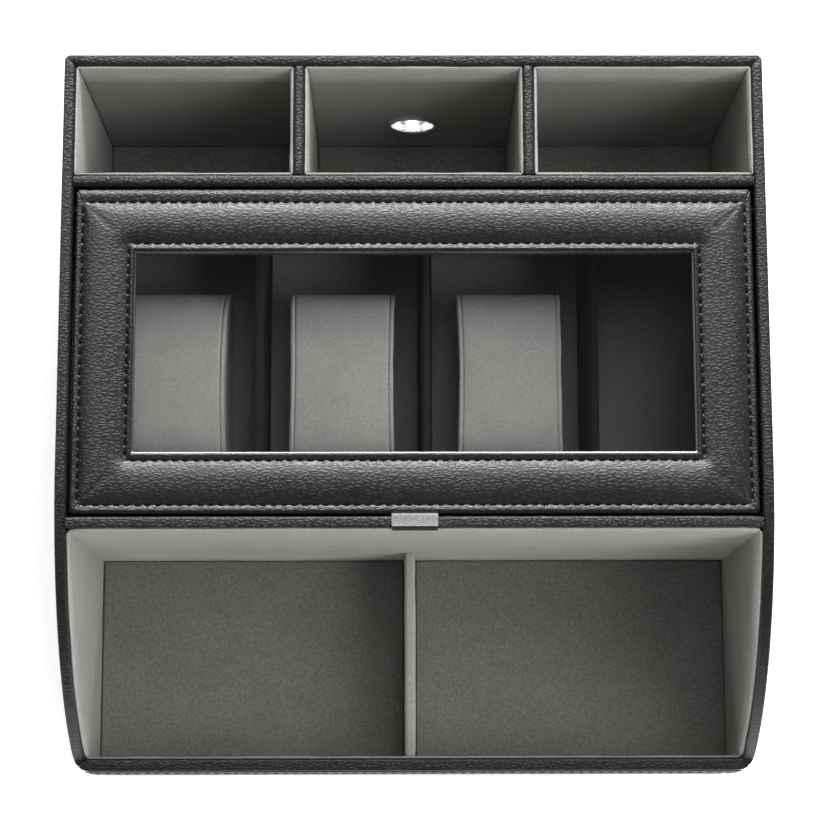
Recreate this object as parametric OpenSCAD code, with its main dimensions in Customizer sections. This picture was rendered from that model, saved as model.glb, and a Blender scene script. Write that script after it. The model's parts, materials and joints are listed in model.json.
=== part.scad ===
// Charging valet: a low leather-wrapped box with three open bays at the back, a hinged glazed lid
// over a watch section in the middle, and an open tray between falling sides at the front.
// Millimetres, +Z up, +Y towards the back, origin under the middle of the whole box.

/* [Body] */
// Overall width across the side panels
body_w = 279.4; // [255:0.1:320]
// Height of the level rim above the table
body_h = 115; // [104:1:140]
// Thickness of a leather-wrapped board
wall = 4.6; // [4:0.1:7]
// Height of the low front wall
front_h = 45; // [35:1:60]
// Length over which the side panels fall from the rim to the front wall
fall_run = 112; // [95:1:130]
// Thickness of the base board
base_t = 5; // [3:0.5:8]
// Thickness of the felt sheet under the base board
felt_t = 0.8; // [0.5:0.1:2]
// Bare margin around the felt sheet
felt_margin = 2; // [1:0.5:6]
// Thickness of the padded face on the front wall, at its edges
pad_edge_t = 0.5; // [0.3:0.1:1]
// Height of the padded face above its edges
pad_crown = 0.7; // [0.4:0.1:2]
// Width over which the padded face rises from its edges
pad_roll = 5; // [3:0.5:10]
// Bare margin between the padded face and the front wall's edges
pad_margin = 4; // [2:0.5:8]

/* [Lining] */
// Thickness of a lining board
lining_t = 1.4; // [1:0.1:2.5]
// Distance from the rim down to the lining's top edge
lining_drop = 1; // [0.5:0.1:3]
// Thickness of a floor board
floor_t = 2; // [1:0.1:3]

/* [Rear bays] */
// Depth of the bays between the back panel and the rear rail
bay_d = 44.8; // [38:0.1:60]

/* [Cable eyelet] */
// Bore that a cable's plug passes through
eyelet_bore = 16.5; // [12:0.5:20]
// Thickness of the eyelet's metal
eyelet_metal = 0.7; // [0.5:0.1:1.2]
// Width of the eyelet's flange beyond its barrel
eyelet_flange_w = 1.4; // [1:0.1:3]
// Thickness of the eyelet's flange
eyelet_flange_t = 2; // [1:0.1:3]
// Thickness of the washer behind the back panel
washer_t = 0.9; // [0.5:0.1:1.5]
// Width of the washer's ring
washer_w = 2.4; // [1.8:0.1:4]
// Thickness of the lip that is rolled over the washer
lip_t = 0.6; // [0.4:0.1:1]
// Width of the lip that is rolled over the washer
lip_w = 1; // [0.6:0.1:1.4]
// Height of the eyelet's axis above the table
eyelet_z = 42.5; // [30:0.5:80]

/* [Front tray] */
// Depth of the tray between the front rail and the front wall
tray_d = 87.2; // [75:0.1:105]
// Thickness of the tray divider
tray_divider_t = 4.6; // [3:0.2:7]
// Height of the tray divider above the floor
tray_divider_h = 32; // [20:1:36]
// Offset of the tray divider from the middle, to the left
tray_divider_shift = 1.5; // [0:0.5:30]

/* [Watch section] */
// Clear width of a watch pocket
pocket_w = 67; // [58:0.5:70]
// Thickness of a watch divider
watch_divider_t = 3.3; // [2:0.1:5]
// Height of a watch divider above the floor
watch_divider_h = 50.5; // [30:0.5:60]
// Width of a watch cushion
cushion_w = 44.5; // [36:0.5:54]
// Length of a watch cushion, front to back
cushion_l = 73; // [60:0.5:90]
// Height of a watch cushion
cushion_h = 49.5; // [35:0.5:58]
// Width of the round welt at each end of a cushion
welt_w = 2; // [1:0.2:4]
// Height that the middle of a cushion stands above its ends
cushion_crown = 1.2; // [0:0.1:4]
// Depth that a cushion's ends draw in between their corners
cushion_draw = 0.8; // [0:0.1:3]
// Depth of the flat that a cushion rests on
cushion_flat = 0.5; // [0.2:0.1:1]
// Depth of the lid rest, front to back
lid_rest_d = 7; // [4:0.5:12]

/* [Lid] */
// Depth of the lid, front to back
lid_d = 129.8; // [118:0.1:150]
// Gap round the lid
lid_gap = 1.1; // [1:0.1:2]
// Width of the leather border round the glass, with the bead
border_w = 24.4; // [20:0.1:30]
// Thickness of the padded cover at its hems
cover_t = 3; // [2.8:0.1:5]
// Radius of the cover's outer edge
cover_edge_r = 2.5; // [1.5:0.1:2.7]
// Height of the cover's padded crown above its hems
crown_h = 1.2; // [0.5:0.1:2]
// Width of the crease between the padded runs at the cover's corners
crease_w = 0.4; // [0.2:0.1:1]
// Width of the hem between the cover's outer edge and its outer seam
outer_hem = 3.4; // [2.8:0.1:6]
// Width of the hem between the cover's inner seam and the bead
inner_hem = 2.4; // [1.5:0.1:5]
// Width of the bead round the glass
bead_w = 0.8; // [0.5:0.1:2]
// Thickness of the lid's frame board
frame_t = 5.1; // [4.8:0.1:8]
// Thickness of the glass
glass_t = 3; // [2:0.1:3.5]
// Width of the ledge that the glass lies on
glass_lap = 5; // [3:0.5:8]
// Thickness of the lining under the lid
lid_lining_t = 1.2; // [0.8:0.1:2]
// Width of the pull tab
tab_w = 18; // [12:1:30]
// Thickness of the pull tab
tab_t = 0.8; // [0.5:0.1:0.8]
// Length of the pull tab's end past the front rail
tab_overhang = 0.8; // [0:0.1:3]
// Height of the pull tab's foot above the lid's underside
tab_foot = 1.5; // [1:0.1:4]

/* [Lid pivots] */
// Diameter of a pivot pin
pin_d = 3; // [2:0.1:3.4]
// Distance from the lid's back edge to the pivot axis
pivot_setback = 8; // [7:0.1:12]
// Length of a pivot pin inside the lid
pin_in_lid = 9; // [6:0.5:14]
// Thickness of a pivot bush's wall
bush_wall = 1; // [0.6:0.1:1.5]
// Thickness left outside a pivot bush
bush_skin = 1.2; // [1:0.1:2]

/* [Clearances] */
// Radial clearance of a pivot pin in its bush
pin_clear = 0.05; // [0.02:0.01:0.1]
// Radial clearance of pressed and glued round pieces
seat_clear = 0.02; // [0.01:0.01:0.05]
// Clearance of the glass in its ledge
glass_clear = 0.2; // [0.1:0.1:0.5]
// Clearance under the pull tab and at the ends of the pivot pins
touch_clear = 0.3; // [0.2:0.1:0.5]
// Clearance between the turning lid and the lining
sweep_clear = 1; // [0.5:0.1:3]

/* [Hidden] */
// Overlap used where one shape cuts another
cut = 1;
// Number of rear bays
bays = 3;
// Steps in a full turn of a wide, shallow arc
wide_arc = 360;
// Points round a cushion's outline, a multiple of four
outline_points = 32;
// Steps in the curve of a welt
welt_steps = 4;
// Squareness of a cushion's outline above and below its middle
crown_power = 3;
base_power = 6;
$fn = 96;

leather = [0.16, 0.16, 0.165];
suede = [0.62, 0.61, 0.585];
suede_floor = [0.36, 0.355, 0.345];
dark_suede = [0.12, 0.12, 0.12];
cushion_grey = [0.47, 0.465, 0.455];
board = [0.55, 0.45, 0.33];

// Levels above the table
base_top = felt_t + base_t;
floor_z = base_top + floor_t;
lining_top = body_h - lining_drop;
cover_z = body_h - crown_h - cover_t;
frame_z = cover_z - frame_t;
lid_z = frame_z - lid_lining_t;
pivot_z = frame_z + frame_t / 2;
lid_sweep = sqrt(pow(pivot_setback, 2) + pow(pivot_z - lid_z, 2));
watch_lining_top = pivot_z - lid_sweep - sweep_clear;

// Places from the front to the back
pad_t = pad_edge_t + pad_crown;
eyelet_proud = washer_t + lip_t;
carcass_d = pad_t + 4 * wall + tray_d + lid_d + 2 * lid_gap + bay_d;
y_pad = -(carcass_d + eyelet_proud) / 2;
y_front = y_pad + pad_t;
y_tray_front = y_front + wall;
y_tray_back = y_tray_front + tray_d;
y_watch_front = y_tray_back + wall;
y_lid_front = y_watch_front + lid_gap;
y_lid_back = y_lid_front + lid_d;
y_watch_back = y_lid_back + lid_gap;
y_bay_front = y_watch_back + wall;
y_bay_back = y_bay_front + bay_d;
y_back = y_bay_back + wall;
y_pivot = y_lid_back - pivot_setback;
y_fall = y_tray_front + fall_run;
y_watch_mid = (y_watch_front + y_watch_back) / 2;

// Places from the left to the right
inner_x = body_w / 2 - wall;
lined_x = inner_x - lining_t;
lid_w = 2 * (inner_x - lid_gap);
bay_w = (2 * inner_x - (bays - 1) * wall) / bays;
tray_divider_x = -tray_divider_shift - tray_divider_t / 2;

// The arc that the side panels fall along is level where it starts
fall_drop = body_h - front_h;
fall_r = (pow(fall_run, 2) + pow(fall_drop, 2)) / (2 * fall_drop);

// Lid cover between its seams
cover_w = border_w - bead_w;
crown_chord = cover_w - outer_hem - inner_hem;
crown_r = (pow(crown_chord / 2, 2) + pow(crown_h, 2)) / (2 * crown_h);

// Padded face of the front wall
pad_h = front_h - felt_t - 2 * pad_margin;
pad_w = body_w - 2 * pad_margin;
pad_r = (pow(pad_roll, 2) + pow(pad_crown, 2)) / (2 * pad_crown);

// Pivots
bush_len = wall - bush_skin;
bush_bore_r = pin_d / 2 + pin_clear;
bush_r = bush_bore_r + bush_wall;

// Eyelet
barrel_r = eyelet_bore / 2 + eyelet_metal;
eyelet_hole_r = barrel_r + seat_clear;
flange_r = barrel_r + eyelet_flange_w;

// A block between two corners
module block(low, high) {
  translate(low) cube(high - low);
}

// A profile of (y, z) points, pushed through from x = low to x = high
module across(low, high) {
  translate([low, 0, 0])
    rotate([90, 0, 90])
      linear_extrude(height = high - low) children();
}

// A round bar along X, from x = low to x = high at the pivot axis
module on_pivot(r, low, high) {
  translate([low, y_pivot, pivot_z])
    rotate([0, 90, 0])
      cylinder(r = r, h = high - low);
}

// A round bar along Y at the eyelet's axis
module on_eyelet(r, low, high) {
  translate([0, high, eyelet_z])
    rotate([90, 0, 0])
      cylinder(r = r, h = high - low);
}

// A rectangular ring, with its hole inset by the same width all round
module ring(w, y_low, y_high, z_low, z_high, inset) {
  difference() {
    block([-w / 2, y_low, z_low], [w / 2, y_high, z_high]);
    block(
      [-w / 2 + inset, y_low + inset, z_low - cut],
      [w / 2 - inset, y_high - inset, z_high + cut]
    );
  }
}

// Carcass

module base_felt() {
  color(dark_suede)
    block(
      [-body_w / 2 + felt_margin, y_front + felt_margin, 0],
      [body_w / 2 - felt_margin, y_back - felt_margin, felt_t]
    );
}

module base_panel() {
  color(board)
    block([-inner_x, y_tray_front, felt_t], [inner_x, y_bay_back, base_top]);
}

// Outline of a side, seen from the right: level at the back, falling along an arc to the front wall
module side_outline(y_low, y_high, z_low, drop) {
  intersection() {
    union() {
      translate([y_fall, z_low]) square([y_back - y_fall, body_h - drop - z_low]);
      intersection() {
        translate([y_fall, body_h - fall_r]) circle(r = fall_r - drop, $fn = wide_arc);
        translate([y_tray_front, z_low]) square([fall_run, body_h - z_low]);
      }
      translate([y_front, z_low]) square([wall, front_h - z_low]);
    }
    translate([y_low, z_low]) square([y_high - y_low, body_h - z_low]);
  }
}

// The right side panel, mitred into the back and front panels
module side_panel() {
  color(leather)
    difference() {
      intersection() {
        across(inner_x, body_w / 2) side_outline(y_front, y_back, felt_t, 0);
        linear_extrude(height = body_h + cut)
          polygon([
            [body_w / 2, y_front],
            [body_w / 2, y_back],
            [inner_x, y_bay_back],
            [inner_x, y_tray_front]
          ]);
      }
      on_pivot(bush_r + seat_clear, inner_x - cut, inner_x + bush_len);
    }
}

module right_side_panel() {
  side_panel();
}

module left_side_panel() {
  mirror([1, 0, 0]) side_panel();
}

module back_panel() {
  color(leather)
    difference() {
      translate([0, 0, felt_t])
        linear_extrude(height = body_h - felt_t)
          polygon([
            [-body_w / 2, y_back],
            [body_w / 2, y_back],
            [inner_x, y_bay_back],
            [-inner_x, y_bay_back]
          ]);
      on_eyelet(eyelet_hole_r, y_bay_back - cut, y_back + cut);
    }
}

module front_panel() {
  color(leather)
    translate([0, 0, felt_t])
      linear_extrude(height = front_h - felt_t)
        polygon([
          [-body_w / 2, y_front],
          [body_w / 2, y_front],
          [inner_x, y_tray_front],
          [-inner_x, y_tray_front]
        ]);
}

module front_pad() {
  z_low = felt_t + pad_margin;
  z_high = z_low + pad_h;
  color(leather)
    across(-pad_w / 2, pad_w / 2) {
      translate([y_front - pad_edge_t, z_low]) square([pad_edge_t, pad_h]);
      intersection() {
        translate([y_pad, z_low]) square([pad_crown, pad_h]);
        union() {
          translate([y_pad, z_low + pad_roll]) square([pad_crown, pad_h - 2 * pad_roll]);
          for (z = [z_low + pad_roll, z_high - pad_roll])
            translate([y_pad + pad_r, z]) circle(r = pad_r);
        }
      }
    }
}

module rear_rail() {
  color(leather)
    block([-inner_x, y_watch_back, base_top], [inner_x, y_bay_front, body_h]);
}

module front_rail() {
  color(leather)
    block([-inner_x, y_tray_back, base_top], [inner_x, y_watch_front, body_h]);
}

// Rear bays, numbered from the left

function bay_x(i) = -inner_x + i * (bay_w + wall);

module bay_divider(i) {
  x = bay_x(i) + bay_w;
  color(leather)
    block([x, y_bay_front, base_top], [x + wall, y_bay_back, body_h]);
}

module bay_floor(i) {
  color(suede_floor)
    block([bay_x(i), y_bay_front, base_top], [bay_x(i) + bay_w, y_bay_back, floor_z]);
}

module bay_back_lining(i) {
  color(suede)
    block(
      [bay_x(i), y_bay_back - lining_t, floor_z],
      [bay_x(i) + bay_w, y_bay_back, lining_top]
    );
}

module bay_front_lining(i) {
  color(suede)
    block(
      [bay_x(i), y_bay_front, floor_z],
      [bay_x(i) + bay_w, y_bay_front + lining_t, lining_top]
    );
}

module bay_side_lining(x) {
  color(suede)
    block(
      [x, y_bay_front + lining_t, floor_z],
      [x + lining_t, y_bay_back - lining_t, lining_top]
    );
}

module bay_left_lining(i) {
  bay_side_lining(bay_x(i));
}

module bay_right_lining(i) {
  bay_side_lining(bay_x(i) + bay_w - lining_t);
}

// The middle bay's back lining lets the eyelet through
module drilled_back_lining() {
  color(suede)
    difference() {
      bay_back_lining(1);
      on_eyelet(eyelet_hole_r, y_bay_back - lining_t - cut, y_bay_back + cut);
    }
}

// Barrel through the lining and the back panel, with a flange in the bay and a rolled lip outside
module cable_eyelet() {
  y_face = y_bay_back - lining_t;
  y_washer = y_back + washer_t;
  color("silver")
    difference() {
      union() {
        on_eyelet(barrel_r, y_face - eyelet_flange_t, y_washer + lip_t);
        on_eyelet(flange_r, y_face - eyelet_flange_t, y_face);
        on_eyelet(barrel_r + lip_w, y_washer, y_washer + lip_t);
      }
      on_eyelet(eyelet_bore / 2, y_face - eyelet_flange_t - cut, y_washer + lip_t + cut);
    }
}

module eyelet_washer() {
  color("silver")
    difference() {
      on_eyelet(eyelet_hole_r + washer_w, y_back, y_back + washer_t);
      on_eyelet(eyelet_hole_r, y_back - cut, y_back + washer_t + cut);
    }
}

// Front tray

module tray_floor(x_low, x_high) {
  color(suede_floor)
    block([x_low, y_tray_front, base_top], [x_high, y_tray_back, floor_z]);
}

module tray_left_floor() {
  tray_floor(-inner_x, tray_divider_x);
}

module tray_right_floor() {
  tray_floor(tray_divider_x + tray_divider_t, inner_x);
}

module tray_back_lining() {
  color(suede)
    block([-inner_x, y_tray_back - lining_t, floor_z], [inner_x, y_tray_back, lining_top]);
}

module tray_front_lining() {
  color(suede)
    block(
      [-inner_x, y_tray_front, floor_z],
      [inner_x, y_tray_front + lining_t, front_h - lining_drop]
    );
}

// The side linings fall with the side panels
module tray_right_lining() {
  color(suede)
    across(lined_x, inner_x)
      side_outline(y_tray_front + lining_t, y_tray_back - lining_t, floor_z, lining_drop);
}

module tray_left_lining() {
  mirror([1, 0, 0]) tray_right_lining();
}

module tray_divider() {
  color(suede)
    block(
      [tray_divider_x, y_tray_front + lining_t, base_top],
      [tray_divider_x + tray_divider_t, y_tray_back - lining_t, floor_z + tray_divider_h]
    );
}

// Watch section, with its pockets numbered from the left

function pocket_x(i) = -lined_x + i * (pocket_w + watch_divider_t);

module watch_floor() {
  color(dark_suede)
    block([-inner_x, y_watch_front, base_top], [inner_x, y_watch_back, floor_z]);
}

module watch_back_lining() {
  color(dark_suede)
    block([-inner_x, y_watch_back - lining_t, floor_z], [inner_x, y_watch_back, watch_lining_top]);
}

module watch_front_lining() {
  color(dark_suede)
    block([-inner_x, y_watch_front, floor_z], [inner_x, y_watch_front + lining_t, watch_lining_top]);
}

module watch_right_lining() {
  color(dark_suede)
    block(
      [lined_x, y_watch_front + lining_t, floor_z],
      [inner_x, y_watch_back - lining_t, watch_lining_top]
    );
}

module watch_left_lining() {
  mirror([1, 0, 0]) watch_right_lining();
}

module watch_divider(i) {
  x = pocket_x(i) + pocket_w;
  color(dark_suede)
    block(
      [x, y_watch_front + lining_t, floor_z],
      [x + watch_divider_t, y_watch_back - lining_t, floor_z + watch_divider_h]
    );
}

// The closed lid lies on this batten
module lid_rest() {
  color(dark_suede)
    block(
      [-inner_x, y_watch_front, watch_lining_top],
      [inner_x, y_watch_front + lid_rest_d, lid_z]
    );
}

// Stations across a cushion: each is [distance from the middle, how far its outline draws in].
// A round welt at each end, a seam beside it, then the body of the cushion.
welt_r = welt_w / 2;
welt_turn = [for (k = [0 : welt_steps]) 180 * k / welt_steps];
body_turn = [for (k = [1 : welt_steps / 2]) 180 * k / welt_steps];
body_half = cushion_w / 2 - welt_w - welt_r;
end_stations = concat(
  [for (a = welt_turn) [cushion_w / 2 - welt_r * (1 - cos(a)), welt_r * (1 - sin(a))]],
  [for (a = body_turn) [body_half + welt_r * cos(a), welt_r * (1 - sin(a))]]
);
end_count = len(end_stations);
stations = concat(
  [for (s = end_stations) [-s[0], s[1]]],
  [for (x = [-body_half / 2, 0, body_half / 2]) [x, 0]],
  [for (k = [end_count - 1 : -1 : 0]) end_stations[k]]
);

// A rounded power of a sine or cosine, keeping its sign
function rounded(c, power) = sign(c) * pow(abs(c), 2 / power);

// The point of a cushion's skin at a station and a turn round its outline
function skin_point(station, turn) =
  let (x = station[0])
  let (lower = cushion_crown * pow(2 * x / cushion_w, 2) + station[1])
  let (power = sin(turn) > 0 ? crown_power : base_power)
  let (y = (cushion_l / 2 - station[1]) * rounded(cos(turn), power))
  let (z = cushion_h / 2 + (cushion_h / 2 - lower) * rounded(sin(turn), power))
  let (draw = cushion_draw * (1 - pow(2 * y / cushion_l, 2)) * 2 * x / cushion_w)
  [x - draw, y, max(z, cushion_flat) - cushion_flat];

module cushion_form() {
  n = outline_points;
  last = len(stations) - 1;
  skin = [for (s = stations) for (k = [0 : n - 1]) skin_point(s, 360 * k / n)];
  end_x = cushion_w / 2 - cushion_draw;
  poles = [[-end_x, 0, cushion_h / 2], [end_x, 0, cushion_h / 2]];
  sides = [
    for (s = [0 : last - 1]) for (k = [0 : n - 1])
      let (a = s * n + k, b = s * n + (k + 1) % n)
      each [[a, b, b + n], [a, b + n, a + n]]
  ];
  ends = [
    for (k = [0 : n - 1])
      let (b = (k + 1) % n)
      each [[len(skin), b, k], [len(skin) + 1, last * n + k, last * n + b]]
  ];
  polyhedron(points = concat(skin, poles), faces = concat(sides, ends));
}

module watch_cushion(i) {
  color(cushion_grey)
    translate([pocket_x(i) + pocket_w / 2, y_watch_mid, floor_z])
      cushion_form();
}

// Lid

// Section of a slab that is rounded along both top edges
module slab_section(w) {
  difference() {
    translate([-w / 2, 0]) square([w, cover_t]);
    for (side = [0, 1]) mirror([side, 0]) difference() {
      translate([w / 2 - cover_edge_r, cover_t - cover_edge_r]) square(cover_edge_r + cut);
      translate([w / 2 - cover_edge_r, cover_t - cover_edge_r]) circle(r = cover_edge_r);
    }
  }
}

// Section of the cover's padded crown, which rises between the hems
module crown_section() {
  low = [outer_hem / 2, cover_t / 2];
  high = [cover_w - inner_hem / 2, cover_t + crown_h + cut];
  intersection() {
    translate([outer_hem + crown_chord / 2, cover_t + crown_h - crown_r])
      circle(r = crown_r, $fn = wide_arc);
    translate(low) square(high - low);
  }
}

// One padded run along X, with its outer edge on y = 0 and a crease at each mitred end
module crown_run(run) {
  reach = run / 2 - crease_w / 2;
  intersection() {
    across(-reach, reach) crown_section();
    linear_extrude(height = cover_t + crown_h + cut)
      polygon([[-reach, 0], [reach, 0], [reach - cover_w, cover_w], [cover_w - reach, cover_w]]);
  }
}

module lid_cover() {
  inner_w = lid_w - 2 * cover_w;
  inner_d = lid_d - 2 * cover_w;
  color(leather)
    translate([0, (y_lid_front + y_lid_back) / 2, cover_z]) {
      difference() {
        intersection() {
          across(-lid_w / 2, lid_w / 2) slab_section(lid_d);
          rotate(90) across(-lid_d / 2, lid_d / 2) slab_section(lid_w);
        }
        block([-inner_w / 2, -inner_d / 2, -cut], [inner_w / 2, inner_d / 2, cover_t + cut]);
      }
      for (turn = [0, 180]) rotate(turn) {
        translate([0, -lid_d / 2, 0]) crown_run(lid_w);
        translate([-lid_w / 2, 0, 0]) rotate(-90) crown_run(lid_d);
      }
    }
}

module lid_frame() {
  ledge = border_w - bead_w - glass_lap;
  color(board)
    difference() {
      ring(lid_w, y_lid_front, y_lid_back, frame_z, cover_z, border_w - bead_w);
      block(
        [-lid_w / 2 + ledge, y_lid_front + ledge, cover_z - glass_t],
        [lid_w / 2 - ledge, y_lid_back - ledge, cover_z + cut]
      );
      for (side = [0, 1]) mirror([side, 0, 0])
        on_pivot(pin_d / 2 + seat_clear, lid_w / 2 - pin_in_lid, lid_w / 2 + cut);
    }
}

module lid_glass() {
  inset = border_w - bead_w - glass_lap + glass_clear;
  color([0.55, 0.6, 0.6, 0.35])
    block(
      [-lid_w / 2 + inset, y_lid_front + inset, cover_z - glass_t],
      [lid_w / 2 - inset, y_lid_back - inset, cover_z]
    );
}

module window_bead() {
  inset = border_w - bead_w;
  color("silver")
    ring(lid_w - 2 * inset, y_lid_front + inset, y_lid_back - inset, cover_z, cover_z + cover_t, bead_w);
}

module lid_lining() {
  color(dark_suede)
    ring(lid_w, y_lid_front, y_lid_back, lid_z, frame_z, border_w - bead_w);
}

// A strip up the lid's front edge and over the front rail
module pull_tab() {
  z_over = body_h + touch_clear;
  color("silver") {
    block(
      [-tab_w / 2, y_lid_front - tab_t, lid_z + tab_foot],
      [tab_w / 2, y_lid_front, z_over + tab_t]
    );
    block(
      [-tab_w / 2, y_tray_back - tab_overhang, z_over],
      [tab_w / 2, y_lid_front, z_over + tab_t]
    );
  }
}

module right_pivot_pin() {
  color("silver")
    on_pivot(pin_d / 2, lid_w / 2 - pin_in_lid, inner_x + bush_len - touch_clear);
}

module left_pivot_pin() {
  mirror([1, 0, 0]) right_pivot_pin();
}

module right_pivot_bush() {
  color("goldenrod")
    difference() {
      on_pivot(bush_r, inner_x, inner_x + bush_len);
      on_pivot(bush_bore_r, inner_x - cut, inner_x + bush_len + cut);
    }
}

module left_pivot_bush() {
  mirror([1, 0, 0]) right_pivot_bush();
}

base_felt();
base_panel();
left_side_panel();
right_side_panel();
back_panel();
front_panel();
front_pad();
rear_rail();
front_rail();
bay_divider(0);  // left_bay_divider
bay_divider(1);  // right_bay_divider
bay_floor(0);  // left_bay_floor
bay_back_lining(0);  // left_bay_back_lining
bay_front_lining(0);  // left_bay_front_lining
bay_left_lining(0);  // left_bay_left_lining
bay_right_lining(0);  // left_bay_right_lining
bay_floor(1);  // middle_bay_floor
drilled_back_lining();  // middle_bay_back_lining
bay_front_lining(1);  // middle_bay_front_lining
bay_left_lining(1);  // middle_bay_left_lining
bay_right_lining(1);  // middle_bay_right_lining
bay_floor(2);  // right_bay_floor
bay_back_lining(2);  // right_bay_back_lining
bay_front_lining(2);  // right_bay_front_lining
bay_left_lining(2);  // right_bay_left_lining
bay_right_lining(2);  // right_bay_right_lining
cable_eyelet();
eyelet_washer();
tray_left_floor();
tray_right_floor();
tray_back_lining();
tray_front_lining();
tray_left_lining();
tray_right_lining();
tray_divider();
watch_floor();
watch_back_lining();
watch_front_lining();
watch_left_lining();
watch_right_lining();
watch_divider(0);  // left_watch_divider
watch_divider(1);  // middle_watch_divider
watch_divider(2);  // right_watch_divider
lid_rest();
left_pivot_bush();
right_pivot_bush();
lid_frame();
lid_cover();
lid_glass();
window_bead();
lid_lining();
pull_tab();
left_pivot_pin();
right_pivot_pin();
watch_cushion(0);  // left_watch_cushion
watch_cushion(1);  // middle_watch_cushion
watch_cushion(2);  // right_watch_cushion
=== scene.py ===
import json
import math

import bmesh
import bpy
from mathutils import Matrix, Vector, noise


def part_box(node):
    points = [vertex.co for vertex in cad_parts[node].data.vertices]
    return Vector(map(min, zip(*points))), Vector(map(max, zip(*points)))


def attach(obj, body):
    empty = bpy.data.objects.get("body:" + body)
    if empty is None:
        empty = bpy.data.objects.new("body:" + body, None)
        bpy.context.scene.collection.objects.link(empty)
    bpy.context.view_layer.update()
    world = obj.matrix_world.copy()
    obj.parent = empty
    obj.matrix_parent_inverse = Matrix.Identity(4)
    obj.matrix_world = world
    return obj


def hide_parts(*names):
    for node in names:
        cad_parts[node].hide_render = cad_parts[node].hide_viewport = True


# A charging valet: leather case, suede bays and tray, watch cushions under a padded, glazed lid.
# Sizes are in millimetres and become metres when a mesh is made. The frame gives most places.
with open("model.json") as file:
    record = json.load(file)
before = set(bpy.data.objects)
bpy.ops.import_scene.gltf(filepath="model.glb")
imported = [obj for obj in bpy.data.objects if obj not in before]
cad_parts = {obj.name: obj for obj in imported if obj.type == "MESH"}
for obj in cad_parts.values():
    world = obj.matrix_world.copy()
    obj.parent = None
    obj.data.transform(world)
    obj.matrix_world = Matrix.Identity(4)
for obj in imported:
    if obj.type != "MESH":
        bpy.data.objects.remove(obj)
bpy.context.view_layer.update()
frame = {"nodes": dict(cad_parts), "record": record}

MM = 0.001
DEEP = 1e4  # a depth below every board, cut off at the board's foot
WELD = 0.004  # points closer than this become one
SHARP = 50.0  # an edge that bends more than this, in degrees, stays sharp
SIDES = ("front", "right", "back", "left")

# Sizes that the frame's boxes don't give
FALL_RUN = 112.0  # length of the curved drop along each side
FRONT_CORNER = 6.5  # plan rounding of the case
BACK_CORNER = 2.2
WALL_EDGE = 0.8  # rounding of the case's boards outside
WALL_INNER = (1.5, 1.5)  # and inside
BACK_INNER = (2.6, 1.3)  # the back board slopes more towards the bays
RAIL_EDGE = (1.7, 1.7)  # rounding of the rear rail and bay dividers
FRONT_RAIL_EDGE = (0.8, 1.3)  # the front rail, in front and behind
LINING_CORNER = 2.4  # plan rounding of the tray's linings
BAY_CORNER = 0.9
LINING_EDGE = 0.35
LINING_SOFT = (1.0, 3.5)  # width and depth of the soft inner edge of a lining
FLOOR_GAP = 0.45  # dark joint round a floor
BACK_GAP = 0.1  # the same at its back edge
FLOOR_CORNER = 0.8
FLOOR_EDGE = 0.7
JOINT_DEPTH = 1.3
DIVIDER_EDGE = 1.5
FRONT_LAP = 0.6  # how far the front board's leather laps over the lining behind it
SEAM = 0.32  # depth of a mitre seam
SEAM_WIDE = 0.4  # half its width
ARC_STEPS = 6
RUN_STEPS = 48
FALL_STEPS = 36
FLOOR_STEPS = 8
RUN_END = 0.001  # a station nearer to an end than this part of the run is left out
LEAST_CORNER = 0.05
WATCH_CORNER = 1.0  # the watch section's linings, dividers and lid rest
WATCH_EDGE = 1.3
REST_EDGE = 1.0
RISE_SIDE = 7.0  # the tray's back lining rises over this width beside each side
RISE_START = 5.0  # from this far in front of it
RISE_RUN = 4.0  # and over this depth

# Cable eyelet and bores
EYELET_LIP = 1.3  # width of the front lip, from the bore to the rim
EYELET_STEP = 0.7  # how far the lip stands out beyond the barrel
BARREL_PLAY = 0.05  # room round the barrel
BUSH_PLAY = 0.02  # room round a pivot bush
BORE_LENGTH = 40.0
BORE_SIDES = 72

# Unevenness of the surfaces, and its wave length
WALL_RIPPLE = 0.02
RAIL_RIPPLE = 0.08
LINING_RIPPLE = 0.22
DIVIDER_RIPPLE = 0.2
WATCH_RIPPLE = 0.15
CUSHION_RIPPLE = 0.35
LID_RIPPLE = 0.08
LONG_WAVE = 18.0
SHORT_WAVE = 14.0
CUSHION_WAVE = 11.0

# Lid: insets from its front, right, back and left edges
OUTER_STITCH = (3.45, 2.9, 5.35, 2.9)
INNER_STITCH = (20.9, 21.2, 22.15, 21.2)
LEATHER_END = (23.95, 23.6, 25.15, 23.6)
WINDOW_EDGE = (24.35, 24.0, 25.55, 24.0)
LID_CORNER = 1.8
STITCH_CORNER = 1.2
CROWN_CORNER = 9.0
RIM_TOP = 1.25  # depths below the top of the crown
GROOVE = 1.6
HEM_END = 2.6
SKIRT_T = 0.35
SKIRT_RISE = 0.2  # foot of the skirt above the underside of the lid's board
END_CORNER = 0.6  # plan rounding of the leather's inner end and the window
BEAD_TOP = 1.7  # height of the bead above the glass
BEAD_FALL = 0.3  # drop of its slope towards the window
BEAD_POWER = 1.3
BEAD_STEPS = 5

# Stitching
STITCH_PITCH = 4.05
STITCH_LENGTH = 3.0
THREAD_R = 0.5
THREAD_TIP = 0.03  # least radius, at the ends
THREAD_FLAT = 0.8  # height of its section as part of the width
THREAD_SIDES = 8
THREAD_STEPS = 8
STITCH_DIP = 0.35
CHANNEL = 0.45  # half width of the channel that a row lies in
PIT_POWER = 1.0  # below 2 the pits are long and the bridges short
PIT = 0.52  # depth of the channel under a stitch
BRIDGE = 0.02  # height of the leather between two stitches

# Camera
SENSOR = 36.0
PHOTO_LENS = 98.702
PHOTO_PLACE = (-7.07, -154.38, 983.6)
PHOTO_PITCH = 9.801
PHOTO_YAW = -2.393
PHOTO_ROLL = 2.291


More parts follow.
